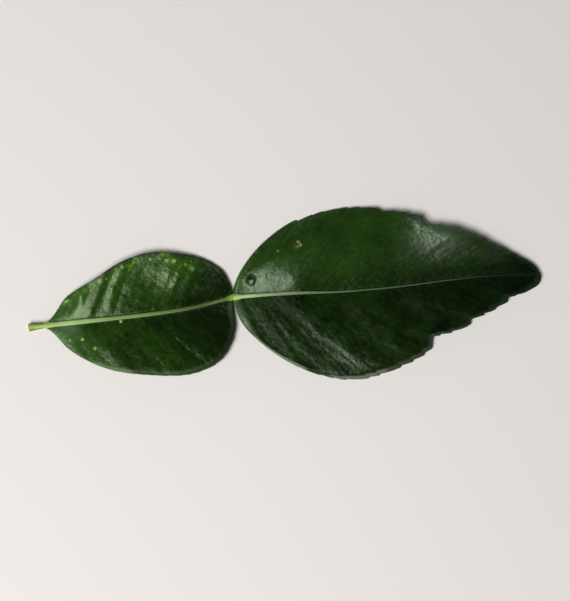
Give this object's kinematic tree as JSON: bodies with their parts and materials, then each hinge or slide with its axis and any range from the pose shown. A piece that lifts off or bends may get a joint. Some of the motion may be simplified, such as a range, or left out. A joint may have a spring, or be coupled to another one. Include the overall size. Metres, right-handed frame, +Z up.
{
  "type": "kaffir lime leaf",
  "caption": "Picked double leaf of a kaffir lime: a pointed, finely toothed blade joined end to end with a broadly winged petiole, lying on its underside.",
  "frame": {"origin": "centre of the leaf's footprint, on the surface that it lies on", "axes": "+X from the cut end of the petiole towards the tip of the blade, +Z up through the glossy upper side, +Y across the leaf"},
  "size_m": [0.125, 0.042, 0.0035],
  "materials": {
    "blade_leaf": "satin",
    "petiole_leaf": "satin"
  },
  "bodies": {
    "root": {"leaf_blade": "blade_leaf", "winged_petiole": "petiole_leaf"}
  },
  "joints": []
}
